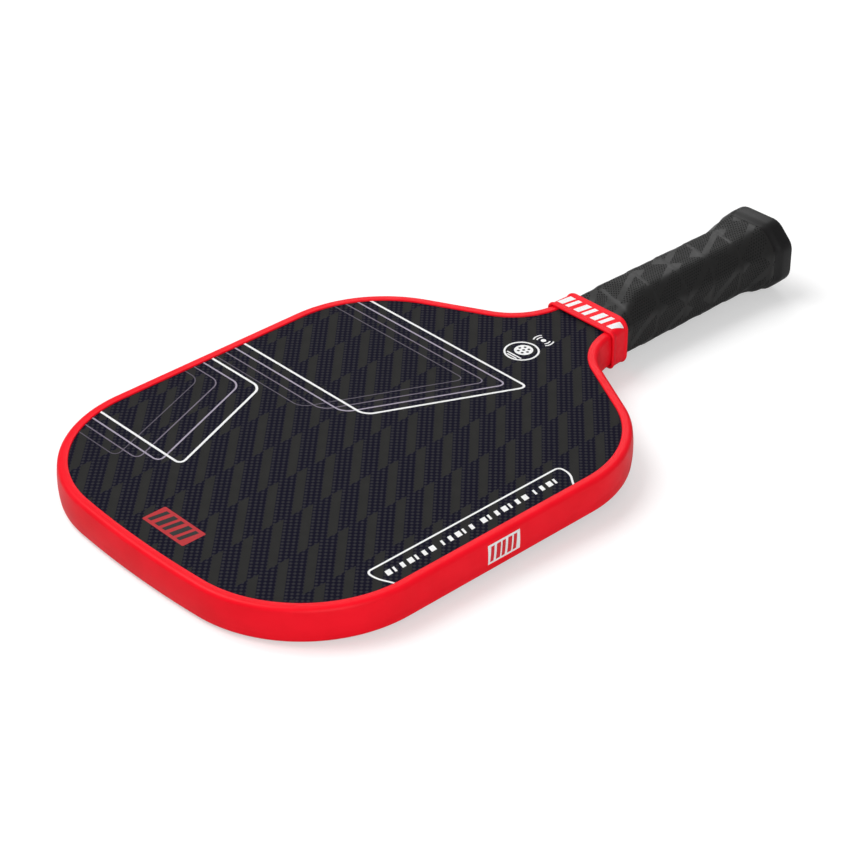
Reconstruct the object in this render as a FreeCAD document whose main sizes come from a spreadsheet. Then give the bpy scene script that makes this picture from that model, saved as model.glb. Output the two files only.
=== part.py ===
# Pickleball paddle: a honeycomb panel in a moulded edge guard, with an octagonal wrapped handle.
#
# Frame: +Y from the head to the butt, +X across the head, +Z out of the front face. The origin is the
# middle of the bounding box, at the height of its lowest point, which is the underside of the butt.
# Every body is drawn about the middle plane of the panel and lifted by its Placement.
import FreeCAD, Part
import math
import os

import Sketcher

SIZES = [
    # overall
    ("overall_length", 406.4),
    ("overall_width", 203.0),
    # outline of the head, along the outside of the edge guard
    ("bow_radius", 517.0),
    ("corner_radius", 65.9),
    ("shoulder_radius", 63.3),
    ("shoulder_length", 99.2),
    ("throat_radius", 31.0),
    ("throat_setback", 130.1),
    ("neck_width", 41.6),
    # panel
    ("core_thickness", 14.4),
    ("film_thickness", 0.2),
    ("skin_thickness", 0.6),
    ("foam_width", 6.0),
    ("cell_width", 15.0),
    ("cell_wall", 0.5),
    # edge guard
    ("guard_wall", 2.2),
    ("guard_bulge", 0.8),
    ("guard_chamfer", 1.7),
    ("lip_thickness", 0.75),
    ("lip_reach", 5.5),
    # handle, at the outside of the grip: insets from the neck, builds over the faces, steps between them
    ("grip_length", 125.7),
    ("grip_thickness", 1.6),
    ("front_inset", 2.1),
    ("front_build", 3.0),
    ("front_chamfer", 4.2),
    ("ramp_length", 20.4),
    ("grip_inset", 3.4),
    ("grip_build", 8.1),
    ("grip_chamfer", 8.4),
    ("flare_length", 16.0),
    ("flare_side", 3.0),
    ("flare_face", 2.1),
    ("flare_chamfer", 9.4),
    # butt cap
    ("skirt_length", 11.0),
    ("cap_length", 12.2),
    ("cap_floor", 6.0),
    ("cap_side", 1.4),
    ("cap_face", 1.0),
    ("cap_chamfer", 10.2),
    ("cap_swell", 5.0),
    ("cap_round", 1.2),
    ("badge_width", 20.0),
    ("badge_depth", 14.0),
    ("badge_chamfer", 4.0),
    ("badge_thickness", 1.0),
    # collar and the tape under it
    ("collar_length", 12.6),
    ("collar_overlap", 4.1),
    ("collar_wall", 0.8),
    ("collar_clearance", 0.1),
    ("guard_tuck", 4.3),
    ("throat_sag", 0.3),
    ("collar_chamfer", 2.0),
    ("rear_wall", 1.4),
    ("bead_height", 0.5),
    ("bead_width", 1.8),
    ("tape_thickness", 0.15),
    # tag under the front skin
    ("tag_width", 25.0),
    ("tag_setback", 159.7),
    ("coil_width", 21.0),
    ("coil_band", 3.0),
    ("chip_width", 3.0),
    ("tag_clearance", 0.1),
]

# Moving the flats of an octagon in by 1 shortens its 45 degree corner cuts by this much.
CORNER_SHARE = 2.0 - math.sqrt(2.0)

document = FreeCAD.newDocument("PickleballPaddle")
sizes = document.addObject("Spreadsheet::Sheet", "Sizes")
for row, (alias, amount) in enumerate(SIZES, start=1):
    sizes.set(f"A{row}", alias)
    sizes.set(f"B{row}", str(amount))
    sizes.setAlias(f"B{row}", alias)
document.recompute()


# A formula is a dictionary: each size's name and the share of it that is added up.
def plus(*formulas):
    total = {}
    for formula in formulas:
        for name, share in formula.items():
            total[name] = total.get(name, 0.0) + share
    return total


def times(factor, formula):
    return {name: factor * share for name, share in formula.items()}


def minus(formula, other):
    return plus(formula, times(-1.0, other))


def value(formula):
    return sum(share * float(sizes.get(name)) for name, share in formula.items())


def expression(formula):
    terms = [f"({share}) * Sizes.{name}" for name, share in formula.items()]
    return " + ".join(terms)


def one(name):
    return {name: 1.0}


def half(name):
    return {name: 0.5}


# Places along the handle, measured from the middle of the paddle.
BUTT_END = half("overall_length")
GRIP_END = minus(BUTT_END, one("cap_length"))
FLARE_START = minus(GRIP_END, one("flare_length"))
SKIRT_FRONT = minus(GRIP_END, one("skirt_length"))
SOCKET_FLOOR = minus(BUTT_END, one("cap_floor"))
GRIP_FRONT = minus(BUTT_END, one("grip_length"))
COLLAR_REAR = plus(GRIP_FRONT, one("collar_overlap"))
RAMP_END = plus(COLLAR_REAR, one("ramp_length"))
COLLAR_FRONT = minus(COLLAR_REAR, one("collar_length"))
GUARD_END = plus(COLLAR_FRONT, one("guard_tuck"))

# Heights above the middle plane.
CORE_TOP = half("core_thickness")
FILM_TOP = plus(CORE_TOP, one("film_thickness"))
SKIN_TOP = plus(FILM_TOP, one("skin_thickness"))
GUARD_TOP = plus(SKIN_TOP, one("lip_thickness"))

# Half widths and half depths of the handle: its width follows the neck and its depth the panel.
FRONT_WIDE = minus(half("neck_width"), one("front_inset"))
FRONT_DEEP = plus(SKIN_TOP, one("front_build"))
GRIP_WIDE = minus(half("neck_width"), one("grip_inset"))
GRIP_DEEP = plus(SKIN_TOP, one("grip_build"))
FLARE_WIDE = plus(GRIP_WIDE, one("flare_side"))
FLARE_DEEP = plus(GRIP_DEEP, one("flare_face"))
CAP_WIDE = plus(FLARE_WIDE, one("cap_side"))
CAP_DEEP = plus(FLARE_DEEP, one("cap_face"))

# The height of the middle plane, which puts the underside of the cap at zero.
MIDDLE = CAP_DEEP

# How far inside the outline of the guard each layer's edge lies, and half the width of the tongue.
PANEL_INSET = one("guard_wall")
CORE_INSET = plus(PANEL_INSET, one("foam_width"))
TONGUE = minus(half("neck_width"), CORE_INSET)


def new_body(name):
    body = document.addObject("PartDesign::Body", name)
    body.Label = name
    body.setExpression("Placement.Base.z", expression(MIDDLE))
    return body


def plane(body, role):
    return next(item for item in body.Origin.OriginFeatures if item.Role == role)


def new_sketch(body, name, role, height=None):
    """Put a sketch on an origin plane of its own body, moved along the plane's normal by a height."""
    sketch = body.newObject("Sketcher::SketchObject", name)
    sketch.AttachmentSupport = [(plane(body, role), "")]
    sketch.MapMode = "FlatFace"
    if height:
        sketch.setExpression("AttachmentOffset.Base.z", expression(height))
    return sketch


def bind(sketch, kind, places, formula):
    """Add a dimension whose value is a formula of the sheet."""
    index = sketch.addConstraint(Sketcher.Constraint(kind, *places, value(formula)))
    sketch.setExpression(f"Constraints[{index}]", expression(formula))


def place_point(sketch, edge, end, across, up):
    """Fix a point's two distances from the sketch's origin. An empty formula puts it on the axis."""
    for kind, distance, axis in (("DistanceX", across, -2), ("DistanceY", up, -1)):
        if distance:
            bind(sketch, kind, (-1, 1, edge, end), distance)
        else:
            sketch.addConstraint(Sketcher.Constraint("PointOnObject", edge, end, axis))


def section(across, up, chamfer, offset=None):
    """Describe an octagon by its half width, half depth and corner cut, with its flats moved in by an offset."""
    offset = offset or {}
    return minus(across, offset), minus(up, offset), minus(chamfer, times(CORNER_SHARE, offset))


def octagon(sketch, shape):
    """Draw an octagon about the origin: two corners are placed and the other six mirror them."""
    across, up, chamfer = shape
    flat = minus(across, chamfer)
    side = minus(up, chamfer)
    corners = [(value(across), value(side)), (value(flat), value(up))]
    corners += [(-x, y) for x, y in reversed(corners)]
    corners += [(-x, -y) for x, y in corners]
    points = [FreeCAD.Vector(x, y, 0) for x, y in corners]
    for start, end in zip(points, points[1:] + points[:1]):
        sketch.addGeometry(Part.LineSegment(start, end))
    for edge in range(8):
        sketch.addConstraint(Sketcher.Constraint("Coincident", edge, 2, (edge + 1) % 8, 1))
    place_point(sketch, 0, 1, across, side)
    place_point(sketch, 1, 1, flat, up)
    for first, second, axis in ((1, 2, -2), (0, 3, -2), (0, 7, -1), (1, 6, -1), (2, 5, -1), (3, 4, -1)):
        sketch.addConstraint(Sketcher.Constraint("Symmetric", first, 1, second, 1, axis))


def cross_section(body, name, station, shape):
    """Draw an octagon across the handle at a station along Y."""
    sketch = new_sketch(body, name, "XZ_Plane", times(-1.0, station))
    octagon(sketch, shape)
    return sketch


def outline_numbers(inset):
    """Work out the joints of the right half of the outline, moved in by an inset."""
    length, width = value(one("overall_length")), value(one("overall_width"))
    bow = value(one("bow_radius"))
    corner = value(one("corner_radius"))
    shoulder = value(one("shoulder_radius"))
    throat = value(one("throat_radius"))
    bow_centre = FreeCAD.Vector(0, bow - length / 2, 0)
    corner_x = width / 2 - corner
    corner_drop = math.sqrt((bow - corner) ** 2 - corner_x ** 2)
    corner_centre = FreeCAD.Vector(corner_x, bow_centre.y - corner_drop, 0)
    throat_y = length / 2 - value(one("throat_setback"))
    throat_centre = FreeCAD.Vector(value(half("neck_width")) + throat, throat_y, 0)
    shoulder_centre = FreeCAD.Vector(
        width / 2 - shoulder, throat_y - value(one("shoulder_length")), 0
    )
    reach = throat_centre - shoulder_centre
    slant = math.atan2(reach.y, reach.x) - math.acos((shoulder + throat) / reach.Length)
    lean = math.atan2(-corner_drop, corner_x)
    return {
        "bow": (bow_centre, bow - inset, -math.pi / 2, lean),
        "corner": (corner_centre, corner - inset, lean, 0.0),
        "shoulder": (shoulder_centre, shoulder - inset, 0.0, slant),
        "throat": (throat_centre, throat + inset, math.pi, math.pi + slant),
    }


def arc_edge(centre, radius, start, end):
    return Part.ArcOfCircle(Part.Circle(centre, FreeCAD.Vector(0, 0, 1), radius), start, end)


def outline_edges(inset, end_y):
    """List the right half of the outline from the far end to the neck, ending at a given Y."""
    arcs = {name: arc_edge(*numbers) for name, numbers in outline_numbers(inset).items()}
    bow, corner, shoulder, throat = (arcs[name] for name in ("bow", "corner", "shoulder", "throat"))
    neck = FreeCAD.Vector(throat.StartPoint.x, end_y, 0)
    return [
        bow,
        corner,
        Part.LineSegment(corner.EndPoint, shoulder.StartPoint),
        shoulder,
        Part.LineSegment(shoulder.EndPoint, throat.EndPoint),
        throat,
        Part.LineSegment(throat.StartPoint, neck),
    ]


def half_outline(sketch, inset, end):
    """Draw the right half of the outline as a chain of tangent lines and arcs."""
    for edge in outline_edges(value(inset), value(end)):
        sketch.addGeometry(edge)
    joints = ((0, 2, 1, 1), (1, 2, 2, 1), (2, 2, 3, 1), (3, 2, 4, 1), (4, 2, 5, 2), (5, 1, 6, 1))
    for joint in joints:
        sketch.addConstraint(Sketcher.Constraint("Tangent", *joint))
    sketch.addConstraint(Sketcher.Constraint("Vertical", 2))
    sketch.addConstraint(Sketcher.Constraint("Vertical", 6))
    sketch.addConstraint(Sketcher.Constraint("PointOnObject", 0, 3, -2))
    sketch.addConstraint(Sketcher.Constraint("PointOnObject", 0, 1, -2))
    bind(sketch, "Radius", (0,), minus(one("bow_radius"), inset))
    bind(sketch, "Radius", (1,), minus(one("corner_radius"), inset))
    bind(sketch, "Radius", (3,), minus(one("shoulder_radius"), inset))
    bind(sketch, "Radius", (5,), plus(one("throat_radius"), inset))
    bind(sketch, "DistanceY", (0, 1, -1, 1), minus(half("overall_length"), inset))
    bind(sketch, "DistanceX", (-1, 1, 2, 1), minus(half("overall_width"), inset))
    bind(sketch, "DistanceX", (-1, 1, 6, 1), minus(half("neck_width"), inset))
    throat_y = minus(half("overall_length"), one("throat_setback"))
    bind(sketch, "DistanceY", (-1, 1, 5, 3), throat_y)
    bind(sketch, "DistanceY", (3, 3, 5, 3), one("shoulder_length"))
    bind(sketch, "DistanceY", (-1, 1, 6, 2), end)


def close_outline(sketch):
    """Join the half outline's two ends along the neck's end and the middle line."""
    start = sketch.Geometry[0].StartPoint
    neck = sketch.Geometry[6].EndPoint
    corner = FreeCAD.Vector(0, neck.y, 0)
    sketch.addGeometry(Part.LineSegment(neck, corner))
    sketch.addGeometry(Part.LineSegment(corner, start))
    sketch.addConstraint(Sketcher.Constraint("Coincident", 6, 2, 7, 1))
    sketch.addConstraint(Sketcher.Constraint("Coincident", 7, 2, 8, 1))
    sketch.addConstraint(Sketcher.Constraint("Coincident", 8, 2, 0, 1))
    sketch.addConstraint(Sketcher.Constraint("Horizontal", 7))
    sketch.addConstraint(Sketcher.Constraint("PointOnObject", 7, 2, -2))


def pad(body, sketch, thickness, symmetric=False):
    feature = body.newObject("PartDesign::Pad", sketch.Name + "_pad")
    feature.Profile = sketch
    feature.SideType = "Symmetric" if symmetric else "One side"
    feature.setExpression("Length", expression(thickness))
    body.Tip = feature
    return feature


def pocket(body, sketch, depth, reversed_way=False, symmetric=False):
    """Cut a sketch out of the body and make sure that it really removed something."""
    document.recompute()
    before = body.Shape.Volume
    feature = body.newObject("PartDesign::Pocket", sketch.Name + "_pocket")
    feature.Profile = sketch
    feature.SideType = "Symmetric" if symmetric else "One side"
    feature.Reversed = reversed_way
    feature.setExpression("Length", expression(depth))
    body.Tip = feature
    document.recompute()
    if not feature.Shape.Volume < before:
        raise RuntimeError(f"{feature.Name} cuts nothing")
    return feature


def ring_points(station, shape):
    """List the corners of an octagon across the handle at a station along Y."""
    across, up, chamfer = (value(part) for part in shape)
    quarter = [(across, up - chamfer), (across - chamfer, up)]
    upper = quarter + [(-x, z) for x, z in reversed(quarter)]
    corners = upper + [(-x, -z) for x, z in upper]
    return [FreeCAD.Vector(x, value(station), z) for x, z in corners]


def facet(*corners):
    return Part.Face(Part.makePolygon([*corners, corners[0]]))


def faceted_form(name, stations):
    """Join octagons along the handle. Their sides stay parallel, so every facet between two is flat."""
    rings = [ring_points(*item) for item in stations]
    facets = [facet(*rings[0]), facet(*rings[-1])]
    for near, far in zip(rings, rings[1:]):
        for corner in range(8):
            following = (corner + 1) % 8
            facets.append(facet(near[corner], near[following], far[following], far[corner]))
    form = document.addObject("Part::Feature", name)
    form.Shape = Part.Solid(Part.Shell(facets))
    return form


def body_from(name, form):
    """Start a body from a form that was made outside it."""
    body = new_body(name)
    body.BaseFeature = form
    return body


def mirror(body, features):
    feature = body.newObject("PartDesign::Mirrored", body.Name + "_mirror")
    feature.Originals = features
    feature.MirrorPlane = (plane(body, "YZ_Plane"), [""])
    body.Tip = feature
    return feature


def rectangle(sketch, left, right, low, high):
    """Draw a rectangle between four formulas, its sides along the sketch's axes."""
    xs = (value(left), value(right))
    ys = (value(low), value(high))
    corners = [(xs[0], ys[0]), (xs[1], ys[0]), (xs[1], ys[1]), (xs[0], ys[1])]
    points = [FreeCAD.Vector(x, y, 0) for x, y in corners]
    for start, end in zip(points, points[1:] + points[:1]):
        sketch.addGeometry(Part.LineSegment(start, end))
    for edge in range(4):
        sketch.addConstraint(Sketcher.Constraint("Coincident", edge, 2, (edge + 1) % 4, 1))
    for edge, kind in ((0, "Horizontal"), (1, "Vertical"), (2, "Horizontal"), (3, "Vertical")):
        sketch.addConstraint(Sketcher.Constraint(kind, edge))
    place_point(sketch, 0, 1, left, low)
    place_point(sketch, 2, 1, right, high)


def tongue_rectangle(sketch):
    """Draw the right half of the strip that runs from the neck into the butt cap."""
    rectangle(sketch, {}, TONGUE, GUARD_END, SOCKET_FLOOR)


def panel_layer(name, low, thickness):
    """Make one flat layer of the panel, head and tongue in one piece."""
    body = new_body(name)
    head = new_sketch(body, name + "_head", "XY_Plane", low)
    half_outline(head, PANEL_INSET, GUARD_END)
    close_outline(head)
    tongue = new_sketch(body, name + "_tongue", "XY_Plane", low)
    tongue_rectangle(tongue)
    mirror(body, [pad(body, head, thickness), pad(body, tongue, thickness)])
    return body


def edge_foam():
    """Make the foam band that fills the panel's edge between the core and the guard."""
    body = new_body("edge_foam")
    low = times(-1.0, CORE_TOP)
    rim = new_sketch(body, "foam_rim", "XY_Plane", low)
    half_outline(rim, PANEL_INSET, GUARD_END)
    close_outline(rim)
    block = pad(body, rim, one("core_thickness"))
    opening = new_sketch(body, "foam_opening", "XY_Plane", low)
    half_outline(opening, CORE_INSET, GUARD_END)
    close_outline(opening)
    mirror(body, [block, pocket(body, opening, one("core_thickness"), reversed_way=True)])


def hexagon(centre, across_flats):
    """Make a flat-topped hexagonal face."""
    corner = across_flats / math.sqrt(3.0)
    turns = [index * math.pi / 3 for index in range(7)]
    points = [centre + FreeCAD.Vector(corner * math.cos(t), corner * math.sin(t), 0) for t in turns]
    return Part.Face(Part.makePolygon(points))


def honeycomb_core():
    """Make the core: a slab of the outline with every cell cut through, open where the edge cuts one."""
    end = value(SOCKET_FLOOR)
    right = [edge.toShape() for edge in outline_edges(value(CORE_INSET), end)]
    left = [edge.mirror(FreeCAD.Vector(), FreeCAD.Vector(1, 0, 0)) for edge in right]
    across = value(TONGUE)
    butt = Part.LineSegment(FreeCAD.Vector(-across, end, 0), FreeCAD.Vector(across, end, 0)).toShape()
    outline = Part.Face(Part.Wire(Part.__sortEdges__(right + left + [butt])))
    cell = value(one("cell_width"))
    pitch = cell + value(one("cell_wall"))
    column = pitch * math.sqrt(3.0) / 2
    box = outline.BoundBox
    cells = []
    for i in range(-int(box.XMax / column) - 1, int(box.XMax / column) + 2):
        shift = pitch / 2 if i % 2 else 0.0
        for j in range(int(box.YMin / pitch) - 1, int(box.YMax / pitch) + 2):
            centre = FreeCAD.Vector(i * column, j * pitch + shift, 0)
            if outline.distToShape(Part.Vertex(centre))[0] < pitch:
                cells.append(hexagon(centre, cell))
    walls = max(outline.cut(cells).Faces, key=lambda face: face.Area)
    slab = walls.extrude(FreeCAD.Vector(0, 0, value(one("core_thickness"))))
    core = document.addObject("Part::Feature", "honeycomb_core")
    core.Shape = slab
    core.setExpression("Placement.Base.z", expression(minus(MIDDLE, CORE_TOP)))


def adhesive_films():
    """Make the two films that bond the skins to the core; the front one has a hole for the tag."""
    front = panel_layer("front_film", CORE_TOP, one("film_thickness"))
    panel_layer("back_film", times(-1.0, FILM_TOP), one("film_thickness"))
    opening = plus(one("tag_width"), times(2.0, one("tag_clearance")))
    hole = square(front, "tag_hole", CORE_TOP, opening)
    pocket(front, hole, one("film_thickness"), reversed_way=True)


def skins():
    """Make the two laminate skins."""
    panel_layer("front_skin", FILM_TOP, one("skin_thickness"))
    panel_layer("back_skin", times(-1.0, SKIN_TOP), one("skin_thickness"))


def square(body, name, height, width):
    """Draw a square on the middle line where the tag lies."""
    sketch = new_sketch(body, name, "XY_Plane", height)
    side = times(0.5, width)
    rectangle(sketch, times(-1.0, side), side, minus(TAG_CENTRE, side), plus(TAG_CENTRE, side))
    return sketch


def tag():
    """Make the flat tag under the front skin: a carrier, its square coil and its chip."""
    layer = half("film_thickness")
    upper = plus(CORE_TOP, layer)
    carrier = new_body("tag_carrier")
    pad(carrier, square(carrier, "carrier_square", CORE_TOP, one("tag_width")), layer)
    coil = new_body("tag_coil")
    pad(coil, square(coil, "coil_outside", upper, one("coil_width")), layer)
    bore = minus(one("coil_width"), times(2.0, one("coil_band")))
    pocket(coil, square(coil, "coil_inside", upper, bore), layer, reversed_way=True)
    chip = new_body("tag_chip")
    pad(chip, square(chip, "chip_square", upper, one("chip_width")), layer)


def guard_profile(sketch):
    """Draw the channel across the guard's wall at the far end of the head, along Y and Z."""
    outside = times(-1.0, half("overall_length"))
    crown = plus(outside, one("guard_bulge"))
    shoulder = plus(crown, one("guard_chamfer"))
    wall = plus(outside, one("guard_wall"))
    lip = plus(outside, one("lip_reach"))
    side = minus(GUARD_TOP, one("guard_chamfer"))
    upper = [(wall, SKIN_TOP), (lip, SKIN_TOP), (lip, GUARD_TOP), (shoulder, GUARD_TOP), (crown, side)]
    corners = [(y, times(-1.0, z)) for y, z in reversed(upper)] + upper
    points = [FreeCAD.Vector(value(y), value(z), 0) for y, z in corners]
    for start, end in zip(points, points[1:]):
        sketch.addGeometry(Part.LineSegment(start, end))
    bulge, rise = value(one("guard_bulge")), value(side)
    swell = (rise ** 2 + bulge ** 2) / (2 * bulge)
    middle = FreeCAD.Vector(value(outside) + swell, 0, 0)
    lean = math.asin(rise / swell)
    sketch.addGeometry(arc_edge(middle, swell, math.pi - lean, math.pi + lean))
    arc = len(corners) - 1
    for edge in range(arc):
        sketch.addConstraint(Sketcher.Constraint("Coincident", edge, 2, edge + 1, 1))
        place_point(sketch, edge, 1, *corners[edge])
    sketch.addConstraint(Sketcher.Constraint("Coincident", arc, 2, 0, 1))
    place_point(sketch, arc, 1, *corners[-1])
    sketch.addGeometry(Part.Point(FreeCAD.Vector(value(outside), 0, 0)), True)
    place_point(sketch, arc + 1, 1, outside, {})
    sketch.addConstraint(Sketcher.Constraint("PointOnObject", arc + 1, 1, arc))


def edge_guard():
    """Make the guard: its channel swept round the outline, with both ends at the neck."""
    body = new_body("edge_guard")
    path = new_sketch(body, "guard_path", "XY_Plane")
    half_outline(path, {}, GUARD_END)
    profile = new_sketch(body, "guard_channel", "YZ_Plane")
    guard_profile(profile)
    sweep = body.newObject("PartDesign::AdditivePipe", "guard_sweep")
    sweep.Profile = profile
    sweep.Spine = (path, [])
    sweep.Transition = "Transformed"
    body.Tip = sweep
    mirror(body, [sweep])


def front_section(offset=None):
    return section(FRONT_WIDE, FRONT_DEEP, one("front_chamfer"), offset)


def grip_section(offset=None):
    return section(GRIP_WIDE, GRIP_DEEP, one("grip_chamfer"), offset)


def flare_section(offset=None):
    return section(FLARE_WIDE, FLARE_DEEP, one("flare_chamfer"), offset)


def cap_section(offset=None):
    return section(CAP_WIDE, CAP_DEEP, one("cap_chamfer"), offset)


def pallet(name, back):
    """Make one half shell of the handle, which closes round the tongue."""
    skin = one("grip_thickness")
    stations = [
        (GRIP_FRONT, front_section(skin)),
        (COLLAR_REAR, front_section(skin)),
        (RAMP_END, grip_section(skin)),
        (SOCKET_FLOOR, grip_section(skin)),
    ]
    body = body_from(name, faceted_form(name + "_form", stations))
    slot = new_sketch(body, name + "_slot", "XY_Plane")
    rectangle(slot, times(-1.0, TONGUE), TONGUE, GRIP_FRONT, SOCKET_FLOOR)
    pocket(body, slot, times(2.0, SKIN_TOP), symmetric=True)
    other = new_sketch(body, name + "_split", "XY_Plane")
    side = half("grip_length")
    rectangle(other, times(-1.0, side), side, GRIP_FRONT, SOCKET_FLOOR)
    pocket(body, other, times(2.0, GRIP_DEEP), reversed_way=back)


def grip_wrap():
    """Make the grip as one sleeve: narrow under the collar, octagonal, and flared over the cap's skirt."""
    forms = []
    for name, offset in (("grip_outside", {}), ("grip_inside", one("grip_thickness"))):
        stations = [
            (GRIP_FRONT, front_section(offset)),
            (COLLAR_REAR, front_section(offset)),
            (RAMP_END, grip_section(offset)),
            (FLARE_START, grip_section(offset)),
            (GRIP_END, flare_section(offset)),
        ]
        forms.append(faceted_form(name, stations))
    sleeve = document.addObject("Part::Cut", "grip_wrap")
    sleeve.Base, sleeve.Tool = forms
    sleeve.setExpression("Placement.Base.z", expression(MIDDLE))


def butt_cap():
    """Make the butt cap: a skirt under the end of the grip, a swollen head and a socket for the handle."""
    skin = one("grip_thickness")
    stations = [
        (FLARE_START, grip_section(skin)),
        (GRIP_END, flare_section(skin)),
        (GRIP_END, flare_section()),
        (plus(GRIP_END, one("cap_swell")), cap_section()),
        (minus(BUTT_END, one("cap_round")), cap_section()),
        (BUTT_END, cap_section(one("cap_round"))),
    ]
    body = body_from("butt_cap", faceted_form("cap_form", stations))
    front = new_sketch(body, "skirt_trim", "XZ_Plane", times(-1.0, SKIRT_FRONT))
    side = times(2.0, CAP_WIDE)
    rectangle(front, times(-1.0, side), side, times(-1.0, side), side)
    pocket(body, front, one("flare_length"), reversed_way=True)
    socket = cross_section(body, "socket", SOCKET_FLOOR, grip_section(skin))
    pocket(body, socket, minus(SOCKET_FLOOR, FLARE_START), reversed_way=True)
    recess = cross_section(body, "badge_recess", BUTT_END, BADGE)
    pocket(body, recess, one("badge_thickness"), reversed_way=True)


def butt_badge():
    """Make the blank badge that fills the recess in the end of the cap."""
    body = new_body("butt_badge")
    pad(body, cross_section(body, "badge_face", BUTT_END, BADGE), one("badge_thickness"))


def finishing_tape():
    """Make the turn of tape that holds the front end of the grip down, under the collar."""
    body = new_body("finishing_tape")
    tape = one("tape_thickness")
    band = cross_section(body, "tape_outside", COLLAR_REAR, front_section(times(-1.0, tape)))
    pad(body, band, one("collar_overlap"))
    bore = cross_section(body, "tape_inside", COLLAR_REAR, front_section())
    pocket(body, bore, one("collar_overlap"), reversed_way=True)


def collar():
    """Make the elastic collar: a cone from the neck up to the grip, with a bead round each end."""
    gap, wall, bead = one("collar_clearance"), one("collar_wall"), one("bead_height")
    neck = plus(half("neck_width"), one("throat_sag"), gap)
    neck_up = plus(GUARD_TOP, gap)
    under = plus(one("tape_thickness"), gap)
    grip, grip_up, grip_chamfer = front_section(times(-1.0, under))
    front = (plus(neck, wall), plus(neck_up, wall), one("collar_chamfer"))
    rear = (plus(grip, one("rear_wall")), plus(grip_up, one("rear_wall")), grip_chamfer)
    raised_front = (plus(front[0], bead), plus(front[1], bead), front[2])
    raised_rear = (plus(rear[0], bead), plus(rear[1], bead), rear[2])
    slope, crown = one("bead_height"), one("bead_width")
    stations = [
        (COLLAR_FRONT, front),
        (plus(COLLAR_FRONT, slope), raised_front),
        (plus(COLLAR_FRONT, crown), raised_front),
        (plus(COLLAR_FRONT, crown, slope), front),
        (minus(COLLAR_REAR, plus(crown, slope)), rear),
        (minus(COLLAR_REAR, crown), raised_rear),
        (minus(COLLAR_REAR, slope), raised_rear),
        (COLLAR_REAR, rear),
    ]
    body = body_from("collar", faceted_form("collar_form", stations))
    inside = times(0.5, one("collar_chamfer"))
    mouth = cross_section(body, "neck_mouth", GUARD_END, (neck, neck_up, inside))
    pocket(body, mouth, one("guard_tuck"), reversed_way=True)
    waist = cross_section(body, "waist", GRIP_FRONT, (grip, neck_up, inside))
    pocket(body, waist, minus(GRIP_FRONT, COLLAR_FRONT), reversed_way=True)
    bore = cross_section(body, "grip_mouth", COLLAR_REAR, (grip, grip_up, grip_chamfer))
    pocket(body, bore, one("collar_overlap"), reversed_way=True)


def check_document():
    """Stop if any object failed, or if any sub-part is missing, broken or in more than one piece."""
    for item in document.Objects:
        if {"Invalid", "Error"} & set(item.State):
            raise RuntimeError(f"{item.Name} failed: {item.State}")
    for name in NODES:
        shape = document.getObject(name).Shape
        if shape.isNull() or not shape.isValid():
            raise RuntimeError(f"{name} has no valid shape")
        if len(shape.Solids) != 1:
            raise RuntimeError(f"{name} has {len(shape.Solids)} solids")


NODES = [
    "honeycomb_core",
    "edge_foam",
    "front_film",
    "back_film",
    "front_skin",
    "back_skin",
    "tag_carrier",
    "tag_coil",
    "tag_chip",
    "edge_guard",
    "front_pallet",
    "back_pallet",
    "grip_wrap",
    "finishing_tape",
    "collar",
    "butt_cap",
    "butt_badge",
]

TAG_CENTRE = minus(BUTT_END, one("tag_setback"))
BADGE = section(half("badge_width"), half("badge_depth"), one("badge_chamfer"))

honeycomb_core()
edge_foam()
adhesive_films()
skins()
tag()
edge_guard()
pallet("front_pallet", back=False)
pallet("back_pallet", back=True)
grip_wrap()
finishing_tape()
collar()
butt_cap()
butt_badge()
document.recompute()
check_document()

os.makedirs("parts", exist_ok=True)
for name in NODES:
    document.getObject(name).Shape.exportStep(f"parts/{name}.step")
    print(f"{name}: {document.getObject(name).Shape.Volume / 1000:.2f} cm3")
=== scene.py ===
import math

import bmesh
import bpy
from mathutils import Matrix, Vector, noise


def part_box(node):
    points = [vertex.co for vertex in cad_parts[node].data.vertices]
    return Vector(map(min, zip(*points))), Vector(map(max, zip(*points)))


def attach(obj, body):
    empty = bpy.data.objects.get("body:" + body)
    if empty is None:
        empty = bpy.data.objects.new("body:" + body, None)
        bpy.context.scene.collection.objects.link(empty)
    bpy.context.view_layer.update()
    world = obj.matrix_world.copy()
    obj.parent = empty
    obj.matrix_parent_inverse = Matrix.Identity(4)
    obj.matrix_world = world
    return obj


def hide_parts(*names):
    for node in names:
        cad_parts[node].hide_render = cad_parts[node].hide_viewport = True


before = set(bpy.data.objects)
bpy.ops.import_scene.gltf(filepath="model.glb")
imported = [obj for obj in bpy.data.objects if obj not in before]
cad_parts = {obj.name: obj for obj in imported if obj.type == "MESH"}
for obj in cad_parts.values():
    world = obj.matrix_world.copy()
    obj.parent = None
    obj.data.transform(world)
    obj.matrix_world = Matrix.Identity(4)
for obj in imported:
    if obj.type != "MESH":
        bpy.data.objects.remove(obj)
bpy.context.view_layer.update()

# Shapes are drawn in millimetres about the paddle's middle plane, and a finished mesh is scaled to metres.
mm = 0.001
guardLow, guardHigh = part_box("edge_guard")
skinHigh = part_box("front_skin")[1]
collarLow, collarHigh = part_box("collar")
gripLow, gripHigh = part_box("grip_wrap")
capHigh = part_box("butt_cap")[1]
middle = (guardLow.z + guardHigh.z) / 2 / mm
faceHeight = skinHigh.z / mm - middle
farEnd = guardLow.y / mm
sideEdge = guardHigh.x / mm


# Pieces and their meshes

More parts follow.
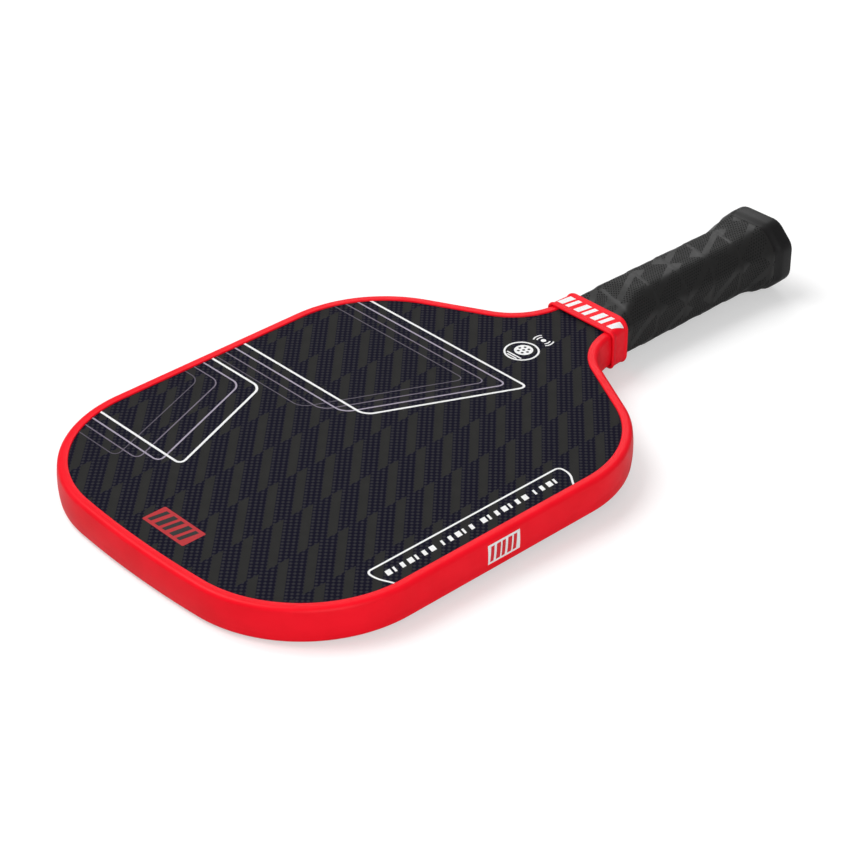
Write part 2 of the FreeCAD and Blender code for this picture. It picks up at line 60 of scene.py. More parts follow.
def finishPiece(bm, name, material, nodes=(), sharpAngle=30):
    bmesh.ops.remove_doubles(bm, verts=bm.verts, dist=0.002)
    bmesh.ops.recalc_face_normals(bm, faces=bm.faces)
    bmesh.ops.translate(bm, vec=(0, 0, middle), verts=bm.verts)
    bmesh.ops.scale(bm, vec=(mm, mm, mm), verts=bm.verts)
    mesh = bpy.data.meshes.new(name)
    bm.to_mesh(mesh)
    bm.free()
    mesh.shade_smooth()
    mesh.set_sharp_from_angle(angle=math.radians(sharpAngle))
    mesh.materials.append(material)
    piece = bpy.data.objects.new(name, mesh)
    bpy.context.scene.collection.objects.link(piece)
    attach(piece, "root")
    if nodes:
        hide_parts(*nodes)
    print("made", name, len(mesh.polygons), "faces")
    return piece


def newFace(bm, known):
    return next(face for face in bm.faces if face not in known)


def addSection(bm, y, halfWidth, halfHeight, chamfer, soften, steps=3, cuts=0):
    # one cross-section of the handle: a rectangle with cut corners, its edges softened
    known = set(bm.faces)
    corners = bmesh.ops.create_grid(bm, x_segments=1, y_segments=1, size=1)["verts"]
    bmesh.ops.scale(bm, vec=(halfWidth, halfHeight, 1), verts=corners)
    for offset, segments in ((chamfer, 1), (soften, steps)):
        if offset:
            corners = list(newFace(bm, known).verts)
            bmesh.ops.bevel(
                bm, geom=corners, affect="VERTICES", offset=offset,
                segments=segments, profile=0.5, material=-1,
            )
    if cuts:
        flats = [edge for edge in newFace(bm, known).edges if edge.calc_length() > 0.75 * soften]
        bmesh.ops.subdivide_edges(bm, edges=flats, cuts=cuts)
    face = newFace(bm, known)
    ring = list(face.verts)
    bmesh.ops.rotate(bm, cent=(0, 0, 0), matrix=Matrix.Rotation(math.pi / 2, 3, "X"), verts=ring)
    bmesh.ops.translate(bm, vec=(0, y, 0), verts=ring)
    return face


def joinSections(bm, sections, tube=False):
    # skin over the sections in order; a tube goes back to its first one
    loops = [list(face.edges) for face in sections]
    if tube:
        loops.append(loops[0])
        bmesh.ops.delete(bm, geom=sections, context="FACES_ONLY")
    else:
        bmesh.ops.delete(bm, geom=sections[1:-1], context="FACES_ONLY")
    for first, second in zip(loops, loops[1:]):
        bmesh.ops.bridge_loops(bm, edges=first + second)


def blendStations(first, second, steps):
    # eased stations between two, so that one form runs into the next without a kink
    made = []
    for step in range(steps):
        share = step / steps
        ease = share * share * (3 - 2 * share)
        y = first[0] + (second[0] - first[0]) * share
        made.append((y, *(a + (b - a) * ease for a, b in zip(first[1:], second[1:]))))
    return made


# Materials

def nodeOf(tree, kind, **settings):
    made = tree.nodes.new(kind)
    for key, value in settings.items():
        setattr(made, key, value)
    return made


def plug(tree, source, target):
    if isinstance(source, bpy.types.NodeSocket):
        tree.links.new(source, target)
    else:
        target.default_value = source


def calc(tree, operation, *values):
    made = nodeOf(tree, "ShaderNodeMath", operation=operation)
    for value, socket in zip(values, made.inputs):
        plug(tree, value, socket)
    return made.outputs[0]


def ramp(tree, value, low, high):
    made = nodeOf(tree, "ShaderNodeMapRange", interpolation_type="SMOOTHSTEP")
    plug(tree, value, made.inputs["Value"])
    made.inputs["From Min"].default_value = low
    made.inputs["From Max"].default_value = high
    return made.outputs["Result"]


def blendColours(tree, share, first, second):
    made = nodeOf(tree, "ShaderNodeMix", data_type="RGBA")
    colours = [socket for socket in made.inputs if socket.type == "RGBA"]
    plug(tree, share, made.inputs[0])
    plug(tree, first, colours[0])
    plug(tree, second, colours[1])
    return next(socket for socket in made.outputs if socket.type == "RGBA")


def newMaterial(name, roughness, specular):
    material = bpy.data.materials.new(name)
    material.use_nodes = True
    tree = material.node_tree
    shader = tree.nodes["Principled BSDF"]
    shader.inputs["Roughness"].default_value = roughness
    shader.inputs["Specular IOR Level"].default_value = specular
    return material, tree, shader


def addBump(tree, shader, height, distance):
    bump = nodeOf(tree, "ShaderNodeBump")
    bump.inputs["Distance"].default_value = distance
    plug(tree, height, bump.inputs["Height"])
    plug(tree, bump.outputs[0], shader.inputs["Normal"])


def objectPlace(tree):
    # Object coordinates in millimetres
    place = nodeOf(tree, "ShaderNodeTexCoord")
    mapping = nodeOf(tree, "ShaderNodeMapping", vector_type="POINT")
    mapping.inputs["Scale"].default_value = (1 / mm, 1 / mm, 1 / mm)
    plug(tree, place.outputs["Object"], mapping.inputs["Vector"])
    return mapping.outputs[0]


def groupSockets(name, inputs, outputs):
    group = bpy.data.node_groups.new(name, "ShaderNodeTree")
    for label, kind, value in inputs:
        socket = group.interface.new_socket(name=label, in_out="INPUT", socket_type=kind)
        if value is not None:
            socket.default_value = value
    for label, kind in outputs:
        group.interface.new_socket(name=label, in_out="OUTPUT", socket_type=kind)
    return group, nodeOf(group, "NodeGroupInput").outputs, nodeOf(group, "NodeGroupOutput").inputs


def makeDotGrid():
    # staggered dots, as in a weave's crossings or a pressed skin: 1 in a dot, -1 between
    group, given, made = groupSockets(
        "dotGrid",
        [("Across", "NodeSocketFloat", 0.0), ("Along", "NodeSocketFloat", 0.0)],
        [("Dots", "NodeSocketFloat")],
    )
    across = calc(group, "COSINE", calc(group, "MULTIPLY", given["Across"], math.pi))
    along = calc(group, "COSINE", calc(group, "MULTIPLY", given["Along"], math.pi))
    plug(group, calc(group, "MULTIPLY", across, along), made["Dots"])
    return group


def makeWear():
    # handling marks: soft cloudy patches, fine grit and a few long scuffs, all in millimetres
    group, given, made = groupSockets(
        "handlingWear",
        [
            ("Place", "NodeSocketVector", None),
            ("Patch Size", "NodeSocketFloat", 12.0),
            ("Grit Size", "NodeSocketFloat", 0.35),
        ],
        [("Patches", "NodeSocketFloat"), ("Grit", "NodeSocketFloat"), ("Scuffs", "NodeSocketFloat")],
    )
    clouds = nodeOf(group, "ShaderNodeTexNoise")
    clouds.inputs["Detail"].default_value = 4
    plug(group, given["Place"], clouds.inputs["Vector"])
    plug(group, calc(group, "DIVIDE", 1.0, given["Patch Size"]), clouds.inputs["Scale"])
    grit = nodeOf(group, "ShaderNodeTexNoise")
    grit.inputs["Detail"].default_value = 2
    plug(group, given["Place"], grit.inputs["Vector"])
    plug(group, calc(group, "DIVIDE", 1.0, given["Grit Size"]), grit.inputs["Scale"])
    stretch = nodeOf(group, "ShaderNodeMapping")
    stretch.inputs["Scale"].default_value = (1.4, 0.05, 1.4)
    stretch.inputs["Rotation"].default_value = (0.3, 0.2, 0.6)
    plug(group, given["Place"], stretch.inputs["Vector"])
    lines = nodeOf(group, "ShaderNodeTexNoise")
    lines.inputs["Scale"].default_value = 1.0
    lines.inputs["Detail"].default_value = 3
    plug(group, stretch.outputs[0], lines.inputs["Vector"])
    plug(group, clouds.outputs[0], made["Patches"])
    plug(group, grit.outputs[0], made["Grit"])
    plug(group, ramp(group, lines.outputs[0], 0.66, 0.78), made["Scuffs"])
    return group


dotGrid = makeDotGrid()
handlingWear = makeWear()


def useGroup(tree, group, **values):
    made = nodeOf(tree, "ShaderNodeGroup", node_tree=group)
    for label, value in values.items():
        plug(tree, value, made.inputs[label.replace("_", " ")])
    return made.outputs


faceCloth = {
    "unit": 1.667,  # spacing of the woven dots
    "columnUnits": 14,  # width of one column of bolts
    "stepUnits": 10,  # height from one bolt to the next
    "boltShare": 0.7,  # part of the step that the bolt fills
    "startX": 28.75,
    "startY": -65.2,
    "charcoal": (0.0190, 0.0188, 0.0184, 1),
    "smooth": (0.0212, 0.0209, 0.0204, 1),
    "navy": (0.0026, 0.0021, 0.0105, 1),
    "dot": (0.0240, 0.0235, 0.0290, 1),
    "crossing": (-0.1, 0.62),  # where a woven dot starts and where it is full
    "softEdge": 0.05,  # of a bolt, as a share of the step
    "floatRise": (0.68, 0.74),  # the smooth part after a bolt, as shares of the step
    "floatFall": (0.86, 0.93),
    "threadPitch": 0.83,
    "roughness": 0.62,
}


def makeFaceCloth():
    cloth = faceCloth
    material, tree, shader = newMaterial("faceCloth", cloth["roughness"], specular=0.06)
    place = objectPlace(tree)
    split = nodeOf(tree, "ShaderNodeSeparateXYZ")
    plug(tree, place, split.inputs[0])
    across = calc(tree, "DIVIDE", calc(tree, "SUBTRACT", split.outputs["X"], cloth["startX"]), cloth["unit"])
    down = calc(tree, "DIVIDE", calc(tree, "SUBTRACT", cloth["startY"], split.outputs["Y"]), cloth["unit"])
    column = calc(tree, "MULTIPLY", calc(tree, "FRACT", calc(tree, "DIVIDE", across, cloth["columnUnits"])),
                  cloth["columnUnits"])
    step = calc(tree, "FRACT", calc(tree, "DIVIDE", calc(tree, "SUBTRACT", down, column), cloth["stepUnits"]))
    edge = cloth["softEdge"]
    bolt = calc(tree, "MULTIPLY", ramp(tree, step, 0.0, edge),
                calc(tree, "SUBTRACT", 1.0, ramp(tree, step, cloth["boltShare"] - edge, cloth["boltShare"])))
    dots = useGroup(tree, dotGrid, Across=across, Along=down)["Dots"]
    crossing = ramp(tree, dots, *cloth["crossing"])
    threadAngle = calc(tree, "MULTIPLY", split.outputs["X"], 2 * math.pi / cloth["threadPitch"])
    threads = calc(tree, "SINE", threadAngle)
    marks = useGroup(tree, handlingWear, Place=place, Patch_Size=9.0, Grit_Size=0.25)
    floats = calc(tree, "MULTIPLY", ramp(tree, step, *cloth["floatRise"]),
                  calc(tree, "SUBTRACT", 1.0, ramp(tree, step, *cloth["floatFall"])))
    ground = blendColours(tree, ramp(tree, marks["Patches"], 0.35, 0.7), cloth["charcoal"], cloth["smooth"])
    threadShade = calc(tree, "MULTIPLY", threads, 0.2)
    threadShade = calc(tree, "MULTIPLY", threadShade, calc(tree, "SUBTRACT", 1.0, floats))
    lit = nodeOf(tree, "ShaderNodeHueSaturation")
    plug(tree, calc(tree, "ADD", 1.0, threadShade), lit.inputs["Value"])
    plug(tree, ground, lit.inputs["Color"])
    woven = blendColours(tree, crossing, cloth["navy"], cloth["dot"])
    plug(tree, blendColours(tree, bolt, lit.outputs[0], woven), shader.inputs["Base Color"])
    rough = calc(tree, "ADD", cloth["roughness"], calc(tree, "MULTIPLY", marks["Grit"], 0.14))
    rough = calc(tree, "SUBTRACT", rough, calc(tree, "MULTIPLY", floats, 0.03))
    plug(tree, rough, shader.inputs["Roughness"])
    relief = calc(tree, "MULTIPLY", calc(tree, "MULTIPLY", bolt, crossing), 0.6)
    height = calc(tree, "ADD", relief, calc(tree, "MULTIPLY", marks["Grit"], 0.7))
    addBump(tree, shader, calc(tree, "ADD", height, calc(tree, "MULTIPLY", threads, 0.12)), 0.00006)
    return material


guardFinish = {"red": (0.84, 0.0045, 0.016, 1), "deepRed": (0.78, 0.0035, 0.013, 1), "roughness": 0.4}


def makePlastic(name, colour, deepColour, roughness, specular=0.11, patch=14.0, grit=0.3, relief=0.00002):
    # moulded plastic or rubber: a little colour drift, a fine grain and faint scuffs
    material, tree, shader = newMaterial(name, roughness, specular)
    place = objectPlace(tree)
    marks = useGroup(tree, handlingWear, Place=place, Patch_Size=patch, Grit_Size=grit)
    plug(tree, blendColours(tree, ramp(tree, marks["Patches"], 0.3, 0.75), colour, deepColour),
         shader.inputs["Base Color"])
    wear = calc(tree, "MULTIPLY", calc(tree, "ADD", marks["Scuffs"], marks["Patches"]), 0.10)
    plug(tree, calc(tree, "ADD", roughness - 0.05, wear), shader.inputs["Roughness"])
    height = calc(tree, "SUBTRACT", marks["Grit"], calc(tree, "MULTIPLY", marks["Scuffs"], 0.3))
    addBump(tree, shader, height, relief)
    return material


gripFinish = {
    "dark": (0.0088, 0.0086, 0.0084, 1),
    # near black: painted shade in the dimples' hollows
    "dimpleAndShade": (0.0008, 0.0008, 0.0008, 1),
    # a little lighter than the dark skin: painted sheen of the smooth patches
    "patch": (0.0105, 0.0102, 0.0100, 1),
    "turnLength": 108.0,  # once round the handle
    "stripWidth": 20.5,
    "stripPhase": 0.335,  # where the winding starts
    "dimplePitch": 1.3,
    "barPitch": 24.92,
    "barStart": 17.2,
    "slant": 0.62,  # how far a bar leans along the strip as it crosses it
    "barHalfWidth": 2.1,
    "nearTriangle": (5.6, 6.8, 0.6),  # distance after a bar, depth, and half width for each unit of depth
    "farTriangle": (4.1, 7.2, 0.7),
    "hem": 0.04,  # smooth share of the strip at each edge
    "rowShare": 0.62,  # distance of the dimples' rows against their pitch
    "roughness": 0.44,
}


def makeGripSkin():
    # a place on the strip comes from the grip's UV map: turns round the handle, and strips along it
    look = gripFinish
    material, tree, shader = newMaterial("gripSkin", look["roughness"], specular=0.32)
    uv = nodeOf(tree, "ShaderNodeUVMap", uv_map="strip")
    split = nodeOf(tree, "ShaderNodeSeparateXYZ")
    plug(tree, uv.outputs[0], split.inputs[0])
    turns, strips = split.outputs["X"], split.outputs["Y"]
    helix = calc(tree, "ADD", turns, strips)
    wound = calc(tree, "SUBTRACT", turns, calc(tree, "FLOOR", helix))
    alongStrip = calc(tree, "MULTIPLY", wound, look["turnLength"])
    share = calc(tree, "FRACT", helix)
    acrossStrip = calc(tree, "MULTIPLY", share, look["stripWidth"])
    dots = useGroup(
        tree, dotGrid,
        Across=calc(tree, "DIVIDE", alongStrip, look["dimplePitch"]),
        Along=calc(tree, "DIVIDE", acrossStrip, look["dimplePitch"] * look["rowShare"]),
    )["Dots"]
    # smooth patches: slanted bars, with triangles between them that stand on the strip's two edges
    pitch = look["barPitch"]

    def fromPlace(value, place):
        # distance from a place that comes again once in each pitch
        shifted = calc(tree, "DIVIDE", calc(tree, "SUBTRACT", value, place - pitch / 2), pitch)
        offCentre = calc(tree, "SUBTRACT", calc(tree, "FRACT", shifted), 0.5)
        return calc(tree, "ABSOLUTE", calc(tree, "MULTIPLY", offCentre, pitch))

    def triangle(shape, fromEdge):
        offset, depth, slope = shape
        distance = fromPlace(alongStrip, look["barStart"] + offset)
        halfWidth = calc(tree, "MULTIPLY", calc(tree, "SUBTRACT", depth, fromEdge), slope)
        return calc(tree, "LESS_THAN", distance, halfWidth)

    slanted = calc(tree, "ADD", alongStrip, calc(tree, "MULTIPLY", acrossStrip, look["slant"]))
    bar = calc(tree, "LESS_THAN", fromPlace(slanted, look["barStart"]), look["barHalfWidth"])
    near = triangle(look["nearTriangle"], acrossStrip)
    far = triangle(look["farTriangle"], calc(tree, "SUBTRACT", look["stripWidth"], acrossStrip))
    patch = calc(tree, "MAXIMUM", bar, calc(tree, "MAXIMUM", near, far))
    fromMiddle = calc(tree, "ABSOLUTE", calc(tree, "SUBTRACT", share, 0.5))
    patch = calc(tree, "MAXIMUM", patch, calc(tree, "GREATER_THAN", fromMiddle, 0.5 - look["hem"]))
    marks = useGroup(tree, handlingWear, Place=objectPlace(tree), Patch_Size=7.0, Grit_Size=0.3)
    dimpleAndShade = calc(tree, "MULTIPLY", ramp(tree, dots, 0.15, 0.6), calc(tree, "SUBTRACT", 1.0, patch))
    # the smooth patches are painted a little lighter as a painted sheen, besides their lower roughness
    colour = blendColours(tree, patch, look["dark"], look["patch"])
    # the dimples get a near-black colour as painted shade, besides their real bump and roughness
    colour = blendColours(tree, dimpleAndShade, colour, look["dimpleAndShade"])
    plug(tree, colour, shader.inputs["Base Color"])
    rough = calc(tree, "SUBTRACT", look["roughness"], calc(tree, "MULTIPLY", patch, 0.09))
    rough = calc(tree, "ADD", rough, calc(tree, "MULTIPLY", dimpleAndShade, 0.35))
    rough = calc(tree, "ADD", rough, calc(tree, "MULTIPLY", marks["Patches"], 0.12))
    plug(tree, rough, shader.inputs["Roughness"])
    height = calc(tree, "SUBTRACT", calc(tree, "MULTIPLY", marks["Grit"], 0.10), dimpleAndShade)
    addBump(tree, shader, height, 0.0004)
    return material


def makeInk(name, colour):
    # printed ink: nearly flat, with a fine grit that wears it a little
    material, tree, shader = newMaterial(name, 0.5, specular=0.3)
    place = objectPlace(tree)
    marks = useGroup(tree, handlingWear, Place=place, Patch_Size=5.0, Grit_Size=0.5)
    worn = tuple(c * 0.8 for c in colour[:3]) + (1,)
    wear = ramp(tree, marks["Grit"], 0.45, 0.75)
    plug(tree, blendColours(tree, wear, colour, worn), shader.inputs["Base Color"])
    addBump(tree, shader, marks["Grit"], 0.00002)
    return material


clothMaterial = makeFaceCloth()
guardMaterial = makePlastic("guardPlastic", guardFinish["red"], guardFinish["deepRed"],
                            guardFinish["roughness"])
collarMaterial = makePlastic("collarRubber", (0.84, 0.004, 0.016, 1), (0.78, 0.003, 0.013, 1), 0.46, 0.16,
                             patch=6.0)
gripMaterial = makeGripSkin()
capMaterial = makePlastic("capPlastic", (0.0085, 0.0082, 0.0085, 1), (0.006, 0.0058, 0.006, 1), 0.42, 0.25,
                          relief=0.00004)
badgeMaterial = makePlastic("badgePlastic", (0.30, 0.006, 0.012, 1), (0.25, 0.004, 0.01, 1), 0.35, 0.4)
coreMaterial = makePlastic("corePolymer", (0.62, 0.60, 0.55, 1), (0.55, 0.53, 0.48, 1), 0.5)
foamMaterial = makePlastic("foam", (0.55, 0.54, 0.50, 1), (0.45, 0.44, 0.40, 1), 0.9, 0.2,
                           grit=0.8, relief=0.0002)
filmMaterial = makePlastic("adhesive", (0.50, 0.42, 0.22, 1), (0.44, 0.36, 0.18, 1), 0.3)
metalMaterial = makePlastic("tagMetal", (0.72, 0.42, 0.25, 1), (0.60, 0.34, 0.2, 1), 0.3)
tapeMaterial = makePlastic("tape", (0.012, 0.012, 0.012, 1), (0.009, 0.009, 0.009, 1), 0.5)
whiteInk = makeInk("whiteInk", (0.80, 0.80, 0.80, 1))
echoInks = [
    makeInk("echoInkBright", (0.34, 0.30, 0.38, 1)),
    makeInk("echoInkMid", (0.15, 0.125, 0.17, 1)),
    makeInk("echoInkFaint", (0.075, 0.062, 0.088, 1)),
]
redInk = makeInk("redInk", (0.42, 0.008, 0.014, 1))
labelRed = makeInk("labelRed", (0.62, 0.008, 0.018, 1))
blackInk = makeInk("blackInk", (0.006, 0.006, 0.006, 1))
print("materials made")

nodeMaterials = {
    "front_skin": clothMaterial,
    "back_skin": clothMaterial,
    "honeycomb_core": coreMaterial,
    "edge_foam": foamMaterial,
    "front_film": filmMaterial,
    "back_film": filmMaterial,
    "tag_carrier": filmMaterial,
    "tag_coil": metalMaterial,
    "tag_chip": tapeMaterial,
    "front_pallet": foamMaterial,
    "back_pallet": foamMaterial,
    "finishing_tape": tapeMaterial,
}
for nodeName, material in nodeMaterials.items():
    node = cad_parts[nodeName]
    for index in range(len(node.material_slots)):
        node.material_slots[index].material = material


# Edge guard: one channel section, carried round the head by spins and straight runs

outline = {
    "bowRadius": 517.0,
    "cornerRadius": 65.9,
    "shoulderRadius": 63.3,
    "shoulderLength": 99.2,
    "throatRadius": 31.0,
    "throatY": 73.1,
    "neckWidth": 41.6,
}
bowCentre = Vector((0, farEnd + outline["bowRadius"], 0))
cornerX = sideEdge - outline["cornerRadius"]
cornerDrop = math.sqrt((outline["bowRadius"] - outline["cornerRadius"]) ** 2 - cornerX ** 2)
cornerCentre = Vector((cornerX, bowCentre.y - cornerDrop, 0))
throatCentre = Vector((outline["neckWidth"] / 2 + outline["throatRadius"], outline["throatY"], 0))
shoulderY = outline["throatY"] - outline["shoulderLength"]
shoulderCentre = Vector((sideEdge - outline["shoulderRadius"], shoulderY, 0))
reach = throatCentre - shoulderCentre
bothRadii = outline["shoulderRadius"] + outline["throatRadius"]
slant = math.atan2(reach.y, reach.x) - math.acos(bothRadii / reach.length)
slantRun = math.sqrt(reach.length ** 2 - bothRadii ** 2)
bowSweep = math.atan2(cornerX, cornerDrop)

guardShape = {
    "wall": 2.2,
    "bulge": 0.8,  # how far the wall's middle stands out from its edges
    "lipReach": 5.5,
    "topRound": 1.9,
    "lipRound": 0.45,
    "crownSteps": 8,
}


def guardSection(bm):
    # the channel's closed outline at the far end of the head, as a wire in the plane x = 0
    shape = guardShape
    top = guardHigh.z / mm - middle
    outer = []
    for step in range(-shape["crownSteps"], shape["crownSteps"] + 1):
        height = step / shape["crownSteps"] * (top - shape["topRound"])
        outer.append((shape["bulge"] * (height / top) ** 2, height))
    upper = [(shape["bulge"], top), (shape["lipReach"], top), (shape["lipReach"], faceHeight - 0.02),
             (shape["wall"], faceHeight - 0.02)]
    lower = [(depth, -height) for depth, height in reversed(upper)]
    points = [bm.verts.new((0, farEnd + depth, height)) for depth, height in outer + upper + lower]
    bm.faces.new(points)
    tops = [points[len(outer)], points[-1]]
    lips = [points[len(outer) + 1], points[-2]]
    for corners, radius, segments in ((tops, shape["topRound"], 6), (lips, shape["lipRound"], 3)):
        bmesh.ops.bevel(bm, geom=corners, affect="VERTICES", offset=radius, segments=segments,
                        profile=0.5, material=-1)
    bmesh.ops.delete(bm, geom=bm.faces[:], context="FACES_ONLY")
    return bm.verts[:] + bm.edges[:]


def turnAbout(bm, section, centre, angle, steps):
    return bmesh.ops.spin(bm, geom=section, cent=centre, axis=(0, 0, 1), angle=angle, steps=steps,
                          use_duplicate=False)["geom_last"]


def runStraight(bm, section, move):
    edges = [item for item in section if isinstance(item, bmesh.types.BMEdge)]
    made = bmesh.ops.extrude_edge_only(bm, edges=edges)["geom"]
    moved = [item for item in made if isinstance(item, bmesh.types.BMVert)]
    bmesh.ops.translate(bm, vec=move, verts=moved)
    return [item for item in made if not isinstance(item, bmesh.types.BMFace)
            and all(vert in set(moved) for vert in getattr(item, "verts", [item]))]


def makeGuard():
    bm = bmesh.new()
    section = guardSection(bm)
    section = turnAbout(bm, section, bowCentre, bowSweep, 6)
    section = turnAbout(bm, section, cornerCentre, math.pi / 2 - bowSweep, 34)
    section = runStraight(bm, section, (0, shoulderCentre.y - cornerCentre.y, 0))
    section = turnAbout(bm, section, shoulderCentre, slant, 26)
    section = runStraight(bm, section, Vector((-math.sin(slant), math.cos(slant), 0)) * slantRun)
    section = turnAbout(bm, section, throatCentre, -slant, 20)
    section = runStraight(bm, section, (0, guardHigh.y / mm - throatCentre.y, 0))
    endEdges = [item for item in section if isinstance(item, bmesh.types.BMEdge)]
    bmesh.ops.holes_fill(bm, edges=endEdges, sides=0)
    everything = bm.verts[:] + bm.edges[:] + bm.faces[:]
    bmesh.ops.mirror(bm, geom=everything, axis="X", merge_dist=0.001)
    return finishPiece(bm, "edgeGuard", guardMaterial, ["edge_guard"])


makeGuard()


# Printed marks: thin films on the faces, trimmed under the guard's lip

printing = {
    "film": 0.05,
    "rise": 0.03,  # above the cloth
    "layer": 0.012,  # each later print lies on the one before
    "trimInset": 3.5,
    "cornerSteps": 7,
}


def trimToHead(bm):
    # cut off what would pass the rim: one plane at each step round the convex part of the head
    cornerCuts, shoulderCuts = 12, 9
    cuts = [(bowCentre, outline["bowRadius"], -math.pi / 2)]
    for step in range(cornerCuts + 1):
        angle = -(math.pi / 2 - bowSweep) * (1 - step / cornerCuts)
        cuts.append((cornerCentre, outline["cornerRadius"], angle))
    for step in range(shoulderCuts + 1):
        cuts.append((shoulderCentre, outline["shoulderRadius"], slant * step / shoulderCuts))
    for centre, radius, angle in cuts:
        for side in (-1, 1):
            normal = Vector((side * math.cos(angle), math.sin(angle), 0))
            point = Vector((side * centre.x, centre.y, 0)) + normal * (radius - printing["trimInset"])
            bmesh.ops.bisect_plane(bm, geom=bm.verts[:] + bm.edges[:] + bm.faces[:], dist=0.0001,
                                   plane_co=point, plane_no=normal, clear_outer=True)


def flatShape(bm, points, rounding=0.0):
    known = set(bm.faces)
    corners = [bm.verts.new((x, y, 0)) for x, y in points]
    bm.faces.new(corners)
    if rounding:
        bmesh.ops.bevel(bm, geom=corners, affect="VERTICES", offset=rounding,
                        segments=printing["cornerSteps"], profile=0.5, material=-1)
    face = newFace(bm, known)
    face.normal_update()
    return face


def lineShape(bm, points, rounding, width):
    face = flatShape(bm, points, rounding)
    bmesh.ops.inset_region(bm, faces=[face], thickness=width, use_even_offset=True, use_boundary=True)
    bmesh.ops.delete(bm, geom=[face], context="FACES")


def roundLine(bm, centre, radius, width, start=0.0, sweep=2 * math.pi, steps=32):
    # a ring or an arc of one line width
    inner = bm.verts.new((centre[0] + (radius - width / 2) * math.cos(start),
                          centre[1] + (radius - width / 2) * math.sin(start), 0))
    outer = bm.verts.new((centre[0] + (radius + width / 2) * math.cos(start),
                          centre[1] + (radius + width / 2) * math.sin(start), 0))
    edge = bm.edges.new((inner, outer))
    bmesh.ops.spin(bm, geom=[inner, outer, edge], cent=(*centre, 0), axis=(0, 0, 1), angle=sweep, steps=steps,
                   use_merge=abs(sweep - 2 * math.pi) < 0.001, use_duplicate=False)


def roundSpot(bm, centre, radius, segments=20):
    spot = bmesh.ops.create_circle(bm, cap_ends=True, segments=segments, radius=radius)["verts"]
    bmesh.ops.translate(bm, vec=(*centre, 0), verts=spot)


def finishPrint(bm, name, material, layer, back=False):
    trimToHead(bm)
    bmesh.ops.recalc_face_normals(bm, faces=bm.faces)
    for face in bm.faces:
        if face.normal.z < 0:
            face.normal_flip()
    bmesh.ops.solidify(bm, geom=bm.faces[:], thickness=printing["film"])
    top = max(vert.co.z for vert in bm.verts)
    height = faceHeight + printing["rise"] + layer * printing["layer"]
    bmesh.ops.translate(bm, vec=(0, 0, height - top), verts=bm.verts)
    if back:
        bmesh.ops.rotate(bm, cent=(0, 0, 0), matrix=Matrix.Rotation(math.pi, 3, "Y"), verts=bm.verts)
    return finishPiece(bm, name, material)


lineArt = {
    # two plain four-sided outlines, each with three fainter copies, and each copy one shift further on
    "upper": [(-140, 9), (26, 9), (-9, -63.5), (-140, -63.5)],
    "lower": [(-140, -82), (-60, -82), (-34, -150), (-140, -150)],
    "rounding": 5.0,
    "widths": [1.2, 0.85, 0.65, 0.55],
    "shift": (-8.5, -5.6),
}


def makeLineArt(back=False):
    side = "back" if back else "front"
    for copy, width in enumerate(lineArt["widths"]):
        bm = bmesh.new()
        shiftX, shiftY = (copy * step for step in lineArt["shift"])
        for part in ("upper", "lower"):
            moved = [(x + shiftX, y + shiftY) for x, y in lineArt[part]]
            lineShape(bm, moved, lineArt["rounding"], width)
        material = echoInks[copy - 1] if copy else whiteInk
        finishPrint(bm, f"{side}Lines{copy}", material, 4 - copy, back)


sideTab = {
    "outline": [(81.3, -28.2), (89.0, -28.2), (97.0, -34.2), (120, -34.2),
                (120, -139.2), (97.0, -139.2), (88.0, -143.5), (81.3, -143.5)],
    "width": 1.0,
    "rounding": 3.0,
    "marksAt": 88.2,  # the middle of the row of marks, which are plain leaning bars in groups
    "markHeight": 3.4,
    "markWidths": [2.9, 1.2, 2.0],
    "markPitch": 4.15,
    "lean": 0.9,
    "groups": [7, 5, 7, 4],
    "space": 2.6,
    "start": -138.0,
}


def makeSideTab():
    bm = bmesh.new()
    lineShape(bm, sideTab["outline"], sideTab["rounding"], sideTab["width"])
    foot = sideTab["marksAt"] + sideTab["markHeight"] / 2
    head = foot - sideTab["markHeight"]
    lean = sideTab["lean"]
    y = sideTab["start"]
    count = 0
    for marks in sideTab["groups"]:
        for mark in range(marks):
            width = sideTab["markWidths"][count % 3]
            flatShape(bm, [(foot, y), (foot, y + width), (head, y + width + lean), (head, y + lean)])
            y += sideTab["markPitch"]
            count += 1
        y += sideTab["space"]
    finishPrint(bm, "sideTabPrint", whiteInk, 0)


seal = {
    "centre": (0.0, 29.0),
    "radius": 8.2,
    "line": 1.0,
    "ball": 4.6,
    "ballLift": 1.4,  # above the ring's middle
    "holes": 0.72,
    "holeRing": 2.6,
    "barWidth": 9.5,
    "barHeight": 0.8,
    "barDrop": 4.6,  # from the ring's middle to the first bar
    "barPitch": 1.5,
    "barTaper": 1.6,
}


def makeSeal():
    x, y = seal["centre"]
    ballY = y + seal["ballLift"]
    bm = bmesh.new()
    roundLine(bm, seal["centre"], seal["radius"], seal["line"])
    roundSpot(bm, (x, ballY), seal["ball"], 28)
    for row in range(2):
        top = y - seal["barDrop"] - row * seal["barPitch"]
        foot = top - seal["barHeight"]
        half = seal["barWidth"] / 2 - row * seal["barTaper"]
        flatShape(bm, [(x - half, top), (x + half, top), (x + half, foot), (x - half, foot)])
    finishPrint(bm, "sealPrint", whiteInk, 0)
    bm = bmesh.new()
    for ring, count in ((0.0, 1), (seal["holeRing"], 6)):
        for hole in range(count):
            angle = hole * 2 * math.pi / count
            spot = (x + ring * math.cos(angle), ballY + ring * math.sin(angle))
            roundSpot(bm, spot, seal["holes"], 12)
    finishPrint(bm, "sealHoles", blackInk, 2)


waves = {"centre": (0.3, 43.5), "dot": 1.35, "radii": [3.1, 4.9], "line": 0.75, "spread": 0.62}


